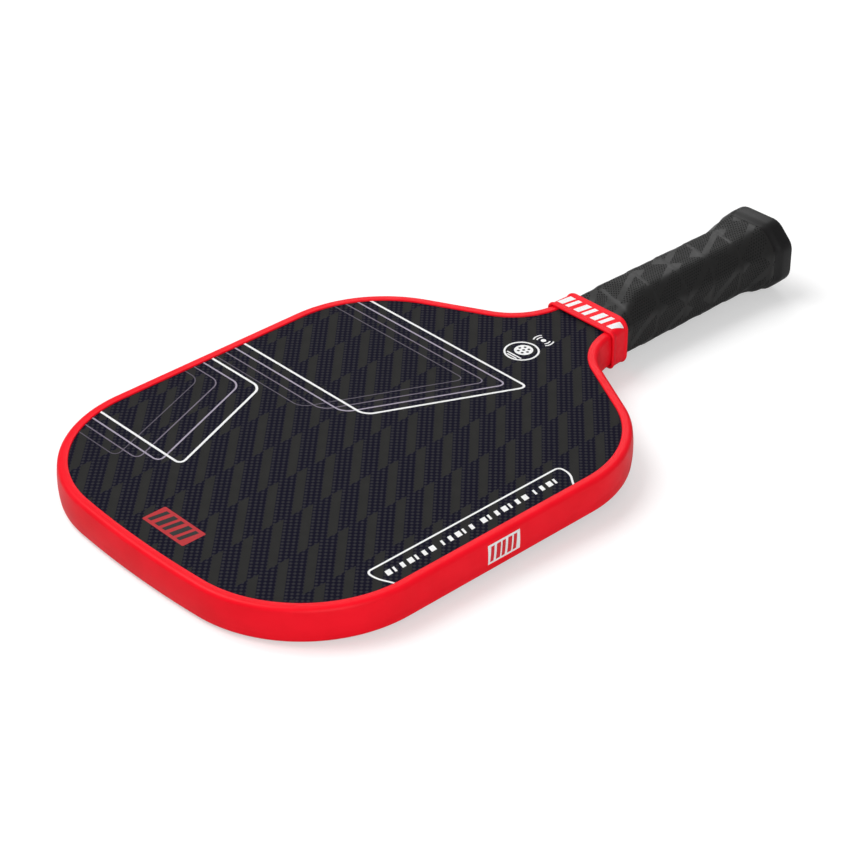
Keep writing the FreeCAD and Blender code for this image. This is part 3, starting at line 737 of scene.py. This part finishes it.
def makeWaves():
    bm = bmesh.new()
    roundSpot(bm, waves["centre"], waves["dot"])
    for radius in waves["radii"]:
        for direction in (0, math.pi):
            roundLine(bm, waves["centre"], radius, waves["line"], direction - waves["spread"],
                      2 * waves["spread"], 10)
    finishPrint(bm, "wavesPrint", whiteInk, 0)


badge = {
    "low": (-13.7, -187.3),
    "high": (14.7, -174.5),
    "rounding": 0.8,
    "bars": 5,
    "barShares": (0.5, 0.62),  # of the pitch, in turn
    "lean": 1.6,
    "margin": 1.7,
}


def makeBadge(back=False):
    side = "back" if back else "front"
    (x0, y0), (x1, y1) = badge["low"], badge["high"]
    bm = bmesh.new()
    flatShape(bm, [(x0, y0), (x1, y0), (x1, y1), (x0, y1)], badge["rounding"])
    finishPrint(bm, f"{side}Badge", redInk, 0, back)
    bm = bmesh.new()
    inner, lean = badge["margin"], badge["lean"]
    foot, head = y0 + inner, y1 - inner
    pitch = (x1 - x0 - 2 * inner) / badge["bars"]
    for bar in range(badge["bars"]):
        left = x0 + inner + bar * pitch
        right = left + pitch * badge["barShares"][bar % 2]
        flatShape(bm, [(left, foot), (right, foot), (right + lean, head), (left + lean, head)])
    finishPrint(bm, f"{side}BadgeBars", blackInk, 2, back)


for back in (False, True):
    makeLineArt(back)
    makeBadge(back)
makeSideTab()
makeSeal()
makeWaves()


# Label on the guard's wall

edgeLabel = {
    "y": (-91.2, -72.2),
    "lift": 1.0,
    "halfHeight": 4.9,
    "rise": 0.06,
    "bars": 5,
    "barShares": (0.58, 0.72),
    "barLean": 0.8,
    "margin": 1.1,
}


def wrapOnWall(bm, rise):
    # lay a flat drawing (y along the wall, x up the wall) on the guard's bulging side
    bmesh.ops.triangulate(bm, faces=bm.faces)
    top = guardHigh.z / mm - middle
    for vert in bm.verts:
        height, y = vert.co.x + edgeLabel["lift"], vert.co.y
        vert.co = (sideEdge - guardShape["bulge"] * (height / top) ** 2 + rise, y, height)


def makeEdgeLabel():
    low, high = edgeLabel["y"]
    half = edgeLabel["halfHeight"]
    for name, material, rise in (("edgeLabel", whiteInk, edgeLabel["rise"]),
                                 ("edgeLabelBars", labelRed, edgeLabel["rise"] + 0.06)):
        bm = bmesh.new()
        if name == "edgeLabel":
            flatShape(bm, [(-half, low), (half, low), (half, high), (-half, high)])
        else:
            margin, lean = edgeLabel["margin"], edgeLabel["barLean"]
            foot, head = margin - half, half - margin
            pitch = (high - low - 2 * margin) / edgeLabel["bars"]
            for bar in range(edgeLabel["bars"]):
                start = low + margin + bar * pitch
                end = start + pitch * edgeLabel["barShares"][bar % 2]
                flatShape(bm, [(foot, start), (head, start + lean), (head, end + lean), (foot, end)])
        for height in range(-4, 5):
            bmesh.ops.bisect_plane(bm, geom=bm.verts[:] + bm.edges[:] + bm.faces[:], dist=0.0001,
                                   plane_co=(height, 0, 0), plane_no=(1, 0, 0))
        wrapOnWall(bm, rise)
        bm.normal_update()
        for face in bm.faces:
            if face.normal.x < 0:
                face.normal_flip()
        bmesh.ops.solidify(bm, geom=bm.faces[:], thickness=0.04)
        finishPiece(bm, name, material)


makeEdgeLabel()


# Collar: an elastic ring from the neck to the grip, with a bead round each end

collarShape = {
    "front": (22.0, 9.65, 2.9),  # half width, half height, corner radius
    "rear": (20.1, 12.4, 5.8),
    "wall": 0.8,
    "rearWall": 1.4,
    "mouth": 0.3,  # how far in the inside starts at each end
    "wallRun": 4.0,
    "bead": [(0.0, -0.25), (0.12, 0.08), (0.4, 0.36), (0.9, 0.5), (1.4, 0.4), (1.8, 0.12), (2.0, 0.0)],
    "cornerSteps": 10,
}


def collarStation(share, rise):
    front, rear = collarShape["front"], collarShape["rear"]
    width, height, corner = (a + (b - a) * share for a, b in zip(front, rear))
    return width + rise, height + rise, corner + 0.6 * rise


def makeCollar():
    bm = bmesh.new()
    start, end = collarLow.y / mm, collarHigh.y / mm
    length = end - start
    stations = [(start + step, rise) for step, rise in collarShape["bead"]]
    stations += [(start + length * share, 0.0) for share in (0.3, 0.4, 0.5, 0.6, 0.7)]
    stations += [(end - step, rise) for step, rise in reversed(collarShape["bead"])]
    rings = []
    for y, rise in stations:
        width, height, corner = collarStation((y - start) / length, rise)
        rings.append(addSection(bm, y, width, height, 0, corner, collarShape["cornerSteps"]))
    mouth, run = collarShape["mouth"], collarShape["wallRun"]
    for y, wall in ((end - mouth, collarShape["rearWall"]), (end - run, collarShape["rearWall"]),
                    (start + run, collarShape["wall"]), (start + mouth, collarShape["wall"])):
        width, height, corner = collarStation((y - start) / length, -wall)
        rings.append(addSection(bm, y, width, height, 0, corner, collarShape["cornerSteps"]))
    joinSections(bm, rings, tube=True)
    finishPiece(bm, "collarRing", collarMaterial, ["collar"], sharpAngle=50)


collarPrint = {
    "spots": [-17.4, -12.0, -6.4, -1.0, 4.6, 10.0, 15.8],  # distance round the ring from the top's middle
    "wide": 3.7,
    "narrow": 2.6,
    "lean": 1.5,
    "band": (0.25, 0.76),  # share of the collar's length
    "rise": 0.07,
}


def ringPoint(loop, distance):
    # a point at a distance round a closed loop, measured from the top's middle towards +X
    lengths = [(b - a).length for a, b in zip(loop, loop[1:] + loop[:1])]
    distance %= sum(lengths)
    for a, b, length in zip(loop, loop[1:] + loop[:1], lengths):
        if distance <= length:
            return a.lerp(b, distance / length)
        distance -= length


def collarLoop(share):
    # the collar's outside at a share of its length, as a loop that starts at the top's middle
    bm = bmesh.new()
    y = (collarLow.y + (collarHigh.y - collarLow.y) * share) / mm
    width, height, corner = collarStation(share, collarPrint["rise"])
    face = addSection(bm, y, width, height, 0, corner, collarShape["cornerSteps"])
    points = [loop.vert.co.copy() for loop in face.loops]
    bm.free()
    if points[0].cross(points[1]).y < 0:
        points.reverse()
    first = next(i for i, (a, b) in enumerate(zip(points, points[1:] + points[:1]))
                 if a.z > 0 and b.z > 0 and a.x < 0 < b.x)
    points = points[first + 1:] + points[:first + 1]
    return [Vector((0, y, points[0].z))] + points


def makeCollarPrint():
    bm = bmesh.new()
    rows, columns = 8, 8
    first, last = collarPrint["band"]
    loops = [collarLoop(first + (last - first) * row / rows) for row in range(rows + 1)]
    for index, spot in enumerate(collarPrint["spots"]):
        width = collarPrint["narrow"] if index % 2 else collarPrint["wide"]
        grid = []
        for row, loop in enumerate(loops):
            start = spot + collarPrint["lean"] * (2 * row / rows - 1)
            grid.append([bm.verts.new(ringPoint(loop, start + width * column / columns))
                         for column in range(columns + 1)])
        for low, high in zip(grid, grid[1:]):
            for column in range(columns):
                bm.faces.new((low[column], low[column + 1], high[column + 1], high[column]))
    bm.normal_update()
    for face in bm.faces:
        if face.normal.dot(face.calc_center_median() * Vector((1, 0, 1))) < 0:
            face.normal_flip()
    bmesh.ops.solidify(bm, geom=bm.faces[:], thickness=0.04)
    finishPiece(bm, "collarPrint", whiteInk)


makeCollar()
makeCollarPrint()


# Grip: an octagonal sleeve, wound with one strip whose edges overlap

gripShape = {
    "front": (18.55, 10.85, 4.2, 2.0),  # half width, half height, corner cut, softening of the edges
    "octagon": (17.4, 16.1, 8.4, 3.0),
    "flare": (20.2, 18.0, 9.4, 3.2),
    "rampEnd": 102.0,
    "flareStart": 175.0,
    "flatCuts": 7,
    "overlap": 0.38,
    "sink": 0.16,
    "seam": 0.05,  # share of the strip over which its edge rises
    "ringPitch": 0.8,
    "lumps": 0.16,
}


def stripHeight(share):
    # the strip is thickest where it lies on the turn before, and thins out to its other edge
    edge = min(share / gripShape["seam"], 1.0)
    return gripShape["overlap"] * (1 - share) ** 1.6 * (edge * edge * (3 - 2 * edge)) - gripShape["sink"]


def makeGrip():
    bm = bmesh.new()
    shape = gripShape
    start, end = gripLow.y / mm, gripHigh.y / mm
    collarEnd = collarHigh.y / mm
    stations = [(start, *shape["front"]), (collarEnd, *shape["front"])]
    stations += blendStations((collarEnd, *shape["front"]), (shape["rampEnd"], *shape["octagon"]), 8)[1:]
    stations += [(shape["rampEnd"], *shape["octagon"]), (shape["flareStart"], *shape["octagon"])]
    stations += blendStations((shape["flareStart"], *shape["octagon"]), (end, *shape["flare"]), 6)[1:]
    stations.append((end, *shape["flare"]))
    rings = [addSection(bm, *station, 3, shape["flatCuts"]) for station in stations]
    joinSections(bm, rings)
    for (y0, *_), (y1, *_) in zip(stations, stations[1:]):
        cuts = int((y1 - y0) / shape["ringPitch"]) - 1
        if cuts > 0:
            lengthwise = [edge for edge in bm.edges
                          if {round(vert.co.y, 2) for vert in edge.verts} == {round(y0, 2), round(y1, 2)}]
            bmesh.ops.subdivide_edges(bm, edges=lengthwise, cuts=cuts, use_grid_fill=True)
    bm.normal_update()
    bmesh.ops.recalc_face_normals(bm, faces=bm.faces)
    ends = {vert for vert in bm.verts if abs(vert.co.y - start) < 0.01 or abs(vert.co.y - end) < 0.01}
    turnOf = {vert: (math.atan2(vert.co.z, -vert.co.x) / (2 * math.pi)) % 1.0 for vert in bm.verts}
    strip, phase = gripFinish["stripWidth"], gripFinish["stripPhase"]
    layer = bm.loops.layers.uv.new("strip")
    for face in bm.faces:
        turns = [turnOf[loop.vert] for loop in face.loops]
        for loop, turn in zip(face.loops, turns):
            if max(turns) - turn > 0.5:
                turn += 1
            loop[layer].uv = (turn, loop.vert.co.y / strip + phase)
    for vert in bm.verts:
        helix = turnOf[vert] + vert.co.y / strip + phase
        outward = Vector((vert.co.x / shape["octagon"][0], 0, vert.co.z / shape["octagon"][1])).normalized()
        rise = stripHeight(helix % 1.0) + shape["lumps"] * noise.noise(vert.co / 5.0)
        if vert not in ends:
            vert.co += outward * rise
    finishPiece(bm, "gripWrap", gripMaterial, ["grip_wrap"], sharpAngle=60)


makeGrip()


# Butt cap and its badge

capShape = {
    "skirt": (18.6, 16.4, 8.6),
    "neck": (20.3, 18.1, 9.4),
    "head": (21.8, 19.2, 10.2),
    "swell": 5.0,
    "edgeRound": 1.8,
    "soften": 3.0,
    "rim": 4.5,
    "recess": 0.35,  # in the end, for the badge
    "badge": (10.0, 7.0, 4.0),
}


def makeCap():
    shape = capShape
    bm = bmesh.new()
    start, end = gripHigh.y / mm, capHigh.y / mm
    stations = [(start - 6.0, *shape["skirt"]), (start - 0.2, *(size - 1.2 for size in shape["neck"]))]
    stations += blendStations((start, *shape["neck"]), (start + shape["swell"], *shape["head"]), 5)
    turn = shape["edgeRound"]
    stations.append((start + shape["swell"], *shape["head"]))
    for step in range(6):
        angle = step / 5 * math.pi / 2
        inset = turn * (1 - math.cos(angle))
        stations.append((end - turn + turn * math.sin(angle), *(size - inset for size in shape["head"][:2]),
                         shape["head"][2] - 0.6 * inset))
    rings = [addSection(bm, *station, shape["soften"]) for station in stations]
    joinSections(bm, rings)
    bmesh.ops.recalc_face_normals(bm, faces=bm.faces)
    endFace = max(bm.faces, key=lambda face: face.calc_center_median().y)
    bmesh.ops.inset_region(bm, faces=[endFace], thickness=shape["rim"], use_even_offset=True)
    bmesh.ops.inset_region(bm, faces=[endFace], thickness=shape["recess"],
                           depth=-shape["recess"], use_even_offset=True)
    finishPiece(bm, "buttCap", capMaterial, ["butt_cap"], sharpAngle=35)
    bm = bmesh.new()
    width, height, chamfer = shape["badge"]
    rings = [addSection(bm, end - 1.0, width, height, chamfer, 0.6),
             addSection(bm, end - shape["recess"], width, height, chamfer, 0.6),
             addSection(bm, end - 0.05, width - 0.3, height - 0.3, chamfer - 0.1, 0.6)]
    joinSections(bm, rings)
    finishPiece(bm, "buttBadge", badgeMaterial, ["butt_badge"])


makeCap()


# Floor, light and camera

studio = {
    "floorSize": 6.0,
    "floorColour": (0.62, 0.62, 0.62, 1),
    "floorGlow": 0.42,  # only as the camera sees it, so that it stays pale without lighting the paddle
    "worldStrength": 0.26,  # as a light; the camera sees plain white
    "lights": [
        # name, place, aimed at, size, power
        ("keyLight", (-0.85, -0.45, 1.7), (0, 0, 0), 1.2, 30),
        ("fillLight", (1.5, -0.85, 0.8), (0, 0, 0), 1.2, 20),
        ("rimLight", (-1.0, 1.05, 0.95), (0, 0.1, 0), 0.8, 4.5),
    ],
}


def makeStudio():
    bm = bmesh.new()
    bmesh.ops.create_grid(bm, x_segments=1, y_segments=1, size=studio["floorSize"] / 2)
    # the butt is deeper than the head, so the floor meets the far end's lower edge and the butt's lowest line
    rise = guardLow.z
    tilt = -math.atan2(rise, capHigh.y - guardLow.y)
    bmesh.ops.rotate(bm, cent=(0, 0, 0), matrix=Matrix.Rotation(tilt, 3, "X"), verts=bm.verts)
    bmesh.ops.translate(bm, vec=(0, 0, -math.tan(tilt) * capHigh.y - 0.0006), verts=bm.verts)
    mesh = bpy.data.meshes.new("studioFloor")
    bm.to_mesh(mesh)
    bm.free()
    material, tree, shader = newMaterial("paleFloor", 0.8, specular=0.1)
    shader.inputs["Base Color"].default_value = studio["floorColour"]
    shader.inputs["Emission Color"].default_value = (1, 1, 1, 1)
    seen = nodeOf(tree, "ShaderNodeLightPath").outputs["Is Camera Ray"]
    plug(tree, calc(tree, "MULTIPLY", seen, studio["floorGlow"]), shader.inputs["Emission Strength"])
    mesh.materials.append(material)
    floor = bpy.data.objects.new("studioFloor", mesh)
    bpy.context.scene.collection.objects.link(floor)
    world = bpy.data.worlds.new("softWorld")
    world.use_nodes = True
    skyTree = world.node_tree
    background = skyTree.nodes["Background"]
    background.inputs["Color"].default_value = (1, 1, 1, 1)
    seen = nodeOf(skyTree, "ShaderNodeLightPath").outputs["Is Camera Ray"]
    extra = calc(skyTree, "MULTIPLY", seen, 1.0 - studio["worldStrength"])
    plug(skyTree, calc(skyTree, "ADD", extra, studio["worldStrength"]), background.inputs["Strength"])
    bpy.context.scene.world = world
    for name, place, target, size, power in studio["lights"]:
        data = bpy.data.lights.new(name, "AREA")
        data.size = size
        data.energy = power
        lamp = bpy.data.objects.new(name, data)
        lamp.location = place
        lamp.rotation_euler = (Vector(target) - Vector(place)).to_track_quat("-Z", "Y").to_euler()
        bpy.context.scene.collection.objects.link(lamp)


cameraView = {
    "place": (0.70565, -0.68367, 0.63590),
    "target": (0.00421, -0.03777, 0.01688),
    "roll": -0.352,
    "lens": 104.08,
}


def makeCamera():
    data = bpy.data.cameras.new("camera")
    data.lens = cameraView["lens"]
    data.sensor_width = 36
    data.dof.use_dof = False
    camera = bpy.data.objects.new("camera", data)
    camera.location = cameraView["place"]
    aim = (Vector(cameraView["target"]) - camera.location).to_track_quat("-Z", "Y").to_matrix()
    camera.rotation_euler = (aim @ Matrix.Rotation(math.radians(cameraView["roll"]), 3, "Z")).to_euler()
    bpy.context.scene.collection.objects.link(camera)
    bpy.context.scene.camera = camera
    bpy.context.scene.view_settings.view_transform = "Standard"


makeStudio()
makeCamera()
print("studio and camera made")
